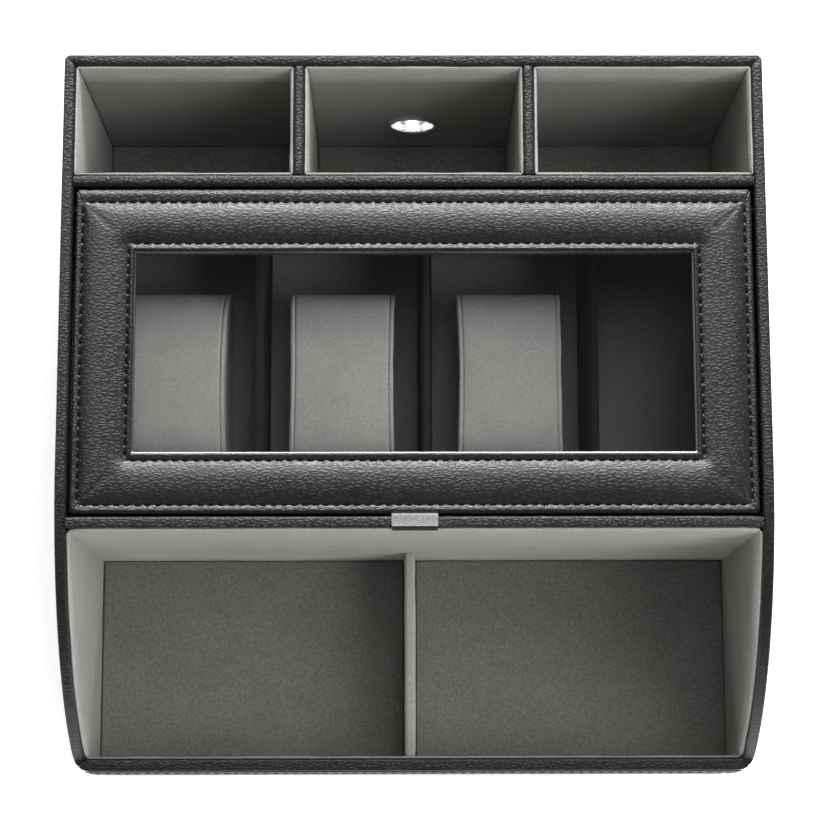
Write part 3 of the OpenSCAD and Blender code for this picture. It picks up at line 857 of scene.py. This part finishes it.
LIP_STEPS = 8
EYELET_EASE = 0.2  # easing of the bore's rear edge
REAR_LIP = ((0.6, 0.0), (0.7, 0.3))  # rolled rear lip: (beyond the barrel, behind the washer)
REAR_LIP_END = 0.5
WASHER_PLAY = 0.1
WASHER_ROUND = ((0.4, 0.0), (0.1, 0.15), (0.0, 0.45))  # (inset from its rim, depth below its face)
washer_low, washer_high = box_mm("eyelet_washer")
washer_r = washer_high.x
flange_back = box_mm("middle_bay_back_lining")[0].y
lip_r = (flange_r - bore_r) / 2
eyelet_profile = [(bore_r, eyelet_high.y - EYELET_EASE)]
for t in even(LIP_STEPS):
    a = math.radians(180 - 180 * t)
    eyelet_profile.append((bore_r + lip_r + lip_r * math.cos(a), eyelet_low.y + lip_r - lip_r * math.sin(a)))
eyelet_profile += [(flange_r, flange_back), (barrel_r, flange_back), (barrel_r, washer_high.y)]
eyelet_profile += [(barrel_r + out, washer_high.y + back) for out, back in REAR_LIP]
eyelet_profile += [(barrel_r + REAR_LIP_END, eyelet_high.y), (bore_r + EYELET_EASE, eyelet_high.y)]
eyelet_ring = lathe(eyelet_mid, eyelet_profile)
piece("cable_eyelet_chrome", [eyelet_ring], chrome, "case", "chrome", "cable_eyelet", sharp=60)
washer_profile = [(barrel_r + WASHER_PLAY, washer_low.y), (barrel_r + WASHER_PLAY, washer_high.y)]
washer_profile += [(washer_r - inset, washer_high.y - depth) for inset, depth in WASHER_ROUND]
washer_profile.append((washer_r, washer_low.y))
washer_ring = lathe(eyelet_mid, washer_profile)
piece("eyelet_washer_chrome", [washer_ring], bead_metal, "case", "chrome", "eyelet_washer")

# Watch cushions

WELT = 2.0  # width of the welt at each end
CUSHION_CROWN = 1.2  # how much lower the ends are than the middle
CUSHION_DRAW = 0.8  # how far the sides pull in between the corners
CUSHION_FLAT = 0.5  # depth cut flat where it rests
CUSHION_STEPS = 8
FOOT_POWER = 6.0  # squareness of the outline below, and above in front and at the rear: 2 is round
FRONT_POWER = 4.2
REAR_POWER = 2.1
REAR_SWELL = 3.0  # how far the soft rear bulges beyond the solid one
OUTLINE = 88  # points of an outline
END_SCALES = (0.96, 0.85, 0.65, 0.4, 0.15, 0.03)  # sizes of the rings that close an end


def cushion_stations(half):
    """(distance from the middle, inset of the outline) from the middle of a cushion to its end."""
    r = WELT / 2
    body = half - WELT - r
    stations = [(body * k / CUSHION_STEPS, 0.0) for k in range(CUSHION_STEPS + 1)]
    stations += [(body + r * math.sin(a), r * (1 - math.cos(a))) for a in angles(15, 5)]
    stations += [(half - r - r * math.cos(a), r * (1 - math.sin(a))) for a in angles(12, 14)]
    return stations


def rounded_power(c, power):
    return math.copysign(abs(c) ** (2 / power), c)


def cushion_ring(x, inset, scale, low, high):
    """One outline of a cushion in a box: rounded above, squarer below, flat where it rests."""
    mid = (low + high) / 2
    half = (high.x - low.x) / 2
    length = high.y - low.y
    full = high.z - low.z + CUSHION_FLAT
    lower = CUSHION_CROWN * (x / half) ** 2 + inset
    ring = []
    for k in range(OUTLINE):
        turn = 2 * math.pi * k / OUTLINE
        at_rear = math.cos(turn) > 0
        power = FOOT_POWER
        if math.sin(turn) > 0:
            power = REAR_POWER if at_rear else FRONT_POWER
        reach = length / 2 - inset + (REAR_SWELL if at_rear else 0)
        y = reach * rounded_power(math.cos(turn), power) * scale
        z = full / 2 + (full / 2 - lower) * rounded_power(math.sin(turn), power) * scale
        draw = CUSHION_DRAW * max(1 - (2 * y / length) ** 2, 0) * x / half
        ring.append((mid.x + x - draw, mid.y + y, low.z + max(z, CUSHION_FLAT) - CUSHION_FLAT))
    return ring


for place_name in ("left", "middle", "right"):
    node = place_name + "_watch_cushion"
    low, high = box_mm(node)
    stations = cushion_stations((high.x - low.x) / 2)
    both = [(-x, inset) for x, inset in reversed(stations[1:])] + stations
    rings = [cushion_ring(x, inset, 1.0, low, high) for x, inset in both]
    for scale in END_SCALES:
        first, last = [cushion_ring(x, inset, scale, low, high) for x, inset in (both[0], both[-1])]
        rings = [first] + rings + [last]
    pillow = piece(node + "_suede", [skin(rings)], cushion_suede, place_name + "_cushion", "cushion", node,
                   ripple=CUSHION_RIPPLE, wave=CUSHION_WAVE, sharp=80)

# Lid

LID_STEPS = {"front": 520, "right": 240, "back": 520, "left": 240}
COARSE_STEPS = 4
lid_steps = {side: steps_along(even(count)) for side, count in LID_STEPS.items()}
coarse_steps = {side: steps_along(even(COARSE_STEPS)) for side in SIDES}
outer_rect = inset_rect(lid_rect, *OUTER_STITCH)
inner_rect = inset_rect(lid_rect, *INNER_STITCH)
end_rect = inset_rect(lid_rect, *LEATHER_END)
window_rect = inset_rect(lid_rect, *WINDOW_EDGE)
skirt_rect = shrink(lid_rect, SKIRT_T)
crown_z = cover_high.z
groove_z = crown_z - GROOVE
skirt_z = lid_board_low.z + SKIRT_RISE
ROLL_FOOT = 2.7  # depth of the foot of the rim below the crown
ROLL_STEPS = 10
HEM_LIFT = 0.46  # height of the hem's crest above the groove
RIM_CREST = 0.38  # place of a crest across its roll
RIM_TURN = 0.12  # part of the rim that turns over the edge
RIM_DROP = 1.7  # depth of the end of that turn below the crown
HEM_CREST = 0.75
ROLL_POWER = 1.4  # near 1 the rise is straight, at 2 it is round
FALL_POWER = 1.3  # the same for its fall
THREAD_SINK = 0.4  # depth of the thread below the groove
CROWN_POWER = 2.3
CROWN_STEPS = 22
NEAR_PULL = 0.25  # how far the stitches draw the crown down beside their row
NEAR_REACH = 0.08  # and over which part of its width
CHANNEL_DIP = 0.1
CHANNEL_SHAPE = ((1, 0.35), (0.5, 0.9), (0, 1.0), (-0.5, 0.9), (-1, 0.35))  # (place, share of the pull)
ROWS = {"outer": outer_rect, "inner": inner_rect}


def channel(row):
    """Columns across a stitch row: its two edges and its bottom."""
    columns = []
    for side, deep in CHANNEL_SHAPE:
        z = groove_z - CHANNEL_DIP * (side == 0)
        columns.append((shrink(ROWS[row], -CHANNEL * side), STITCH_CORNER, z, row, deep))
    return columns


def roll(t, start, crest, end, crest_at):
    """Height across a soft roll that rises from one edge to its crest and falls to the other edge."""
    if t < crest_at:
        return crest - (crest - start) * (1 - t / crest_at) ** ROLL_POWER
    return crest - (crest - end) * ((t - crest_at) / (1 - crest_at)) ** FALL_POWER


def cover_columns():
    """Columns of the cover: rectangle, corner radius, height, stitch row that draws it, how far."""
    foot = crown_z - ROLL_FOOT
    columns = [(lid_rect, LID_CORNER, skirt_z, None, 0), (lid_rect, LID_CORNER, foot, None, 0)]
    rim_rect = shrink(outer_rect, -CHANNEL)
    for u, depth in quarter(RIM_TURN, ROLL_FOOT - RIM_DROP)[1:-1]:
        columns.append((between(lid_rect, rim_rect, u), LID_CORNER, crown_z - RIM_DROP - depth, "outer", 0))
    for k in range(ROLL_STEPS):
        t = k / ROLL_STEPS
        z = roll(t, crown_z - RIM_DROP, crown_z - RIM_TOP, groove_z, RIM_CREST)
        rim_at = between(lid_rect, rim_rect, RIM_TURN + (1 - RIM_TURN) * t)
        columns.append((rim_at, LID_CORNER, z, "outer", 0))
    columns += channel("outer")
    for k in range(1, CROWN_STEPS):
        t = (1 - math.cos(math.pi * k / CROWN_STEPS)) / 2
        z = groove_z + GROOVE * (1 - abs(2 * t - 1) ** CROWN_POWER)
        near = NEAR_PULL * smooth(1 - min(t, 1 - t) / NEAR_REACH)
        crown_at = between(shrink(outer_rect, CHANNEL), shrink(inner_rect, -CHANNEL), t)
        corner = STITCH_CORNER + CROWN_CORNER * math.sin(math.pi * t)
        columns.append((crown_at, corner, z, "outer" if t < 0.5 else "inner", near))
    columns += channel("inner")
    for k in range(1, ROLL_STEPS + 1):
        t = k / ROLL_STEPS
        z = roll(t, groove_z, groove_z + HEM_LIFT, crown_z - HEM_END, HEM_CREST)
        hem_at = between(shrink(inner_rect, CHANNEL), end_rect, t)
        columns.append((hem_at, STITCH_CORNER * (1 - t) + END_CORNER * t, z, "inner", 0))
    columns.append((end_rect, END_CORNER, cover_low.z, None, 0))
    columns.append((skirt_rect, LID_CORNER, cover_low.z, None, 0))
    columns.append((skirt_rect, LID_CORNER, skirt_z, None, 0))
    return columns


def cover_skin():
    """The cover's skin, with a pit at each stitch and a seam at each corner of its rim."""
    columns = cover_columns()
    paths = [rect_path(rect, r, lid_steps) for rect, r, _, _, _ in columns]
    sides = [side for side in SIDES for _ in lid_steps[side][:-1]]
    corners = {sides.index(side) for side in SIDES}
    rings = []
    for i, side in enumerate(sides):
        ring = []
        for path, (_, _, z, row, deep) in zip(paths, columns):
            x, y = path[i]
            if deep:
                down = pull(ROWS[row], side, x, y)
                z += deep * (BRIDGE - (BRIDGE + PIT) * down)
            elif row == "outer" and i in corners:
                z -= SEAM
            ring.append((x, y, z))
        rings.append(ring)
    return skin(rings, loop=True)


lid_cover = piece("lid_cover_leather", [cover_skin()], lid_leather, "lid", "leather", "lid_cover",
                  ripple=LID_RIPPLE, wave=SHORT_WAVE, sharp=75)

lid_stitches = []
for row_rect in ROWS.values():
    lid_stitches += sew(
        row_rect, lambda p: Vector((p.x, p.y, groove_z - THREAD_SINK)),
        lambda d: Vector((d.x, d.y, 0)), (0, 0, 1))
piece("lid_stitches", lid_stitches, thread, "lid", "leather")

bead_z = glass_high.z
bead_columns = [(end_rect, END_CORNER, bead_z)]
for t in even(BEAD_STEPS):
    slope_z = bead_z + BEAD_TOP - BEAD_FALL * t ** BEAD_POWER
    bead_columns.append((between(end_rect, window_rect, t), END_CORNER, slope_z))
bead_columns.append((window_rect, END_CORNER, bead_z))
bead_ring = ring_skin(bead_columns, coarse_steps)
piece("window_bead_metal", [bead_ring], bead_metal, "lid", "bead", "window_bead")

glass_rect = rect_of("lid_glass")
GLASS_BEVEL = 0.3
GLASS_CORNER = 1.0
glass_levels = [
    (GLASS_BEVEL, glass_low.z), (0, glass_low.z + GLASS_BEVEL), (0, glass_high.z - GLASS_BEVEL),
    (GLASS_BEVEL, glass_high.z)]
pane = slab(glass_rect, GLASS_CORNER, glass_levels)
piece("lid_glass_pane", [pane], glass, "lid", "glass", "lid_glass", sharp=30)

BOARD_INSET = 0.45
GLASS_FIT = 0.1
rebate_rect = shrink(glass_rect, -GLASS_FIT)
board_outer = shrink(lid_rect, BOARD_INSET)
board_columns = [
    (board_outer, LID_CORNER, lid_board_low.z), (board_outer, LID_CORNER, lid_board_high.z),
    (rebate_rect, GLASS_CORNER, lid_board_high.z), (rebate_rect, GLASS_CORNER, glass_low.z),
    (end_rect, END_CORNER, glass_low.z), (end_rect, END_CORNER, lid_board_low.z)]
board_ring = ring_skin(board_columns, coarse_steps)
piece("lid_frame_board", [board_ring], stained_board, "lid", "board", "lid_frame", sharp=30)

# Lining under the lid: (inset from the lid's edge or the window, depth below its top)
UNDER_OUTER = ((0.15, 0), (0.15, 0.6), (0.3, 1.0), (0.75, 1.2))
UNDER_INNER = ((-0.6, 1.2), (-0.15, 1.0), (0.0, 0.6), (0.0, 0))
under_z = box_mm("lid_lining")[1].z
under_columns = [(shrink(lid_rect, inset), LID_CORNER, under_z - drop) for inset, drop in UNDER_OUTER]
under_columns += [(shrink(end_rect, inset), END_CORNER, under_z - drop) for inset, drop in UNDER_INNER]
under_ring = ring_skin(under_columns, coarse_steps)
piece("lid_lining_suede", [under_ring], dark_suede, "lid", "dark_suede", "lid_lining")

# Pull tab

tab_low, tab_high = box_mm("pull_tab")
TAB_T = 0.3  # thickness of each of its two layers
TAB_BEND = 0.9
TAB_BOW = 0.1
TAB_CURL = 0.3  # rise of its free end
CURL_POWER = 4  # the higher, the closer to the end the rise begins
TAB_STEPS = 8
BEND_STEPS = 7
FOOT_STEPS = 4
ACROSS_STEPS = 12
SHADE_BACKING_INSET = 0.2
TAB_END = 1.25  # how far the front layer stays short, and the dark backing reaches beyond: the strip it shows there is painted shade under the free end
TAB_REACH = 0.45
TAB_FOOT = 0.3
TAB_SLACK = 0.04
tab_wide = tab_high.x - tab_low.x
tab_lift = tab_high.z - TAB_T / 2 - TAB_BOW - TAB_CURL - TAB_SLACK


def tab_path(free):
    """Middle line of a layer with its outward normals, from under the lid's edge to its free end."""
    back_y = tab_high.y - TAB_T / 2 - TAB_SLACK
    foot = tab_low.z + TAB_FOOT
    bend_z = tab_lift - TAB_BEND
    path = [((back_y, foot + (bend_z - foot) * k / FOOT_STEPS), (1, 0)) for k in range(FOOT_STEPS + 1)]
    for k in range(1, BEND_STEPS + 1):
        a = math.radians(90 * k / BEND_STEPS)
        on_bend = (back_y - TAB_BEND * (1 - math.cos(a)), bend_z + TAB_BEND * math.sin(a))
        path.append((on_bend, (math.cos(a), math.sin(a))))
    start = path[-1][0][0]
    for t in even(TAB_STEPS)[1:]:
        path.append(((start + (free - start) * t, tab_lift + TAB_CURL * t ** CURL_POWER), (0, 1)))
    return path


def tab_layer(free, below, narrow):
    """A strip along the path with round edges; a dark backing lies below the front layer, and where it shows
    past that layer's end it is painted shade under the free end.
    """
    edge = TAB_T / 2
    side = tab_wide / 2 - narrow - edge
    outline = [(side - 2 * side * t, edge) for t in even(ACROSS_STEPS)]
    outline += [(-side - edge * math.sin(a), edge * math.cos(a)) for a in angles(30, 5)]
    outline += [(2 * side * t - side, -edge) for t in even(ACROSS_STEPS)]
    outline += [(side + edge * math.sin(a), -edge * math.cos(a)) for a in angles(30, 5)]
    rings = []
    for (y, z), (ny, nz) in tab_path(free):
        bow = [TAB_BOW * (1 - (2 * x / tab_wide) ** 2) * nz for x, _ in outline]
        rings.append([
            (x, y + ny * (off - below), z + nz * (off - below) + up) for (x, off), up in zip(outline, bow)])
    return skin(rings)


tab_front = tab_layer(tab_low.y + TAB_END, 0, 0)
piece("pull_tab_leather", [tab_front], silver_leather, "lid", "silver_leather", "pull_tab", sharp=60)
# the dark backing: partly a real second layer, partly a strip of painted shade where it reaches past the
# silver layer
tab_shade_backing = tab_layer(tab_low.y - TAB_REACH, TAB_T, SHADE_BACKING_INSET)
piece("pull_tab_shade_backing", [tab_shade_backing], dark_suede, "lid", "leather", sharp=60)

# Floor, light and camera

FLOOR_HALF = 4.0
FLOOR_GLOW = 0.6  # added to the lit floor where it is seen directly or through glass
FAR_GLOW = 0.5  # added once more far from the object
GLOSS_GLOW = 0.2  # added where it is seen in a gloss
GLOW_REACH = (0.6, 2.0)  # distances between which the far glow comes in
PAPER = 0.86
floor_look = bpy.data.materials.new("studio_floor")
floor_look.use_nodes = True
floor_tree = floor_look.node_tree
floor_tree.nodes.clear()
floor_path = add(floor_tree, "LightPath").outputs
seen = maths(floor_tree, "MAXIMUM", floor_path["Is Camera Ray"], floor_path["Is Transmission Ray"])
floor_place = add(floor_tree, "TexCoord").outputs["Object"]
reach = add(floor_tree, "VectorMath", {0: floor_place}, operation="LENGTH").outputs["Value"]
white = remap(floor_tree, reach, *GLOW_REACH, FLOOR_GLOW, FLOOR_GLOW + FAR_GLOW)
direct = maths(floor_tree, "MULTIPLY", seen, white)
glow_level = maths(floor_tree, "MULTIPLY_ADD", floor_path["Is Glossy Ray"], GLOSS_GLOW, direct)
paper = add(floor_tree, "BsdfDiffuse", {"Color": grey(PAPER)})
glow = add(floor_tree, "Emission", {"Color": grey(1.0), "Strength": glow_level})
both_shaders = add(floor_tree, "AddShader", {0: paper.outputs[0], 1: glow.outputs[0]})
add(floor_tree, "OutputMaterial", {"Surface": both_shaders.outputs[0]})
floor_mesh = bpy.data.meshes.new("studio_floor")
floor_corners = [(FLOOR_HALF * x, FLOOR_HALF * y, 0) for x, y in ((-1, -1), (1, -1), (1, 1), (-1, 1))]
floor_mesh.from_pydata(floor_corners, [], [(0, 1, 2, 3)])
floor_mesh.materials.append(floor_look)
studio_floor = put("studio_floor", floor_mesh)

SKY = 0.08
BACKDROP = 1.0
BACKDROP_TOP = (0.1, 0.45)  # heights of the direction between which the backdrop ends
BACKDROP_SIDE = (0.1, 0.7)  # and how far it has to point to the back
WALL_TOP = (0.3, 0.6)  # heights between which the walls seen through glass end
world = bpy.data.worlds.new("studio")
bpy.context.scene.world = world
world.use_nodes = True
sky = world.node_tree
direction = add(sky, "SeparateXYZ", {0: add(sky, "TexCoord").outputs["Generated"]}).outputs
low_down = remap(sky, direction["Z"], *BACKDROP_TOP, 1.0, 0.0)
behind = remap(sky, direction["Y"], *BACKDROP_SIDE)
backdrop = maths(sky, "MULTIPLY", low_down, behind)
level = remap(sky, backdrop, 0.0, 1.0, SKY, BACKDROP, "LINEAR")
sky_path = add(sky, "LightPath").outputs
walls = remap(sky, direction["Z"], *WALL_TOP, 1.0, 0.0)
sky_seen = maths(sky, "MULTIPLY_ADD", sky_path["Is Transmission Ray"], walls, sky_path["Is Camera Ray"])
shown = maths(sky, "MAXIMUM", level, sky_seen)
sky.links.new(shown, sky.nodes["Background"].inputs["Strength"])
sky.nodes["Background"].inputs["Color"].default_value = grey(1.0)


def lamp(name, place, target, wide, tall, power, in_gloss=True, in_fill=True):
    """A soft rectangular lamp aimed at a point, in metres and watts, for the gloss, the fill or both."""
    data = bpy.data.lights.new(name, "AREA")
    data.shape = "RECTANGLE"
    data.size = wide
    data.size_y = tall
    data.energy = power
    made = put(name, data)
    made.location = place
    made.rotation_euler = (Vector(target) - Vector(place)).to_track_quat("-Z", "Y").to_euler()
    made.visible_camera = False
    made.visible_glossy = in_gloss
    made.visible_diffuse = in_fill
    made.visible_transmission = in_gloss


LAMP_AIM = (0, 0, 0.1)
lamp("back_low", (0, 1.41, 0.85), LAMP_AIM, 1.2, 0.45, 20.7, in_fill=False)
lamp("back_fill", (0.7, 1.36, 0.85), LAMP_AIM, 1.6, 0.45, 31.0, False)
lamp("left_low", (-1.4, 0.0, 0.17), LAMP_AIM, 0.25, 0.06, 11.0, False)
lamp("back_middle", (0, 1.14, 1.22), LAMP_AIM, 1.4, 0.5, 5.5)
lamp("back_high", (-0.1, 0.75, 1.5), LAMP_AIM, 2.4, 0.5, 7.0, in_fill=False)
lamp("top", (0.2, 0.3, 1.45), LAMP_AIM, 0.45, 1.0, 5.5, False)
lamp("right", (0.97, -0.25, 1.05), LAMP_AIM, 0.9, 1.0, 11.5, False)
lamp("front", (0.25, -1.3, 0.56), LAMP_AIM, 1.4, 0.3, 10.0, False)

pitch = math.radians(PHOTO_PITCH)
tilt = math.radians(PHOTO_ROLL)
yaw = Matrix.Rotation(math.radians(PHOTO_YAW), 3, "Z")
look_along = yaw @ Vector((0, math.sin(pitch), -math.cos(pitch)))
level_up = yaw @ Vector((0, math.cos(pitch), math.sin(pitch)))
level_right = yaw @ Vector((1, 0, 0))
view_right = level_right * math.cos(tilt) + level_up * math.sin(tilt)
view_up = level_up * math.cos(tilt) - level_right * math.sin(tilt)
camera_data = bpy.data.cameras.new("photo_camera")
camera_data.sensor_width = SENSOR
camera_data.lens = PHOTO_LENS
camera = put("photo_camera", camera_data)
camera_turn = Matrix((view_right, view_up, -look_along)).transposed().to_4x4()
camera.matrix_world = Matrix.Translation(Vector(PHOTO_PLACE) * MM) @ camera_turn
bpy.context.scene.camera = camera
bpy.context.scene.view_settings.view_transform = "Standard"
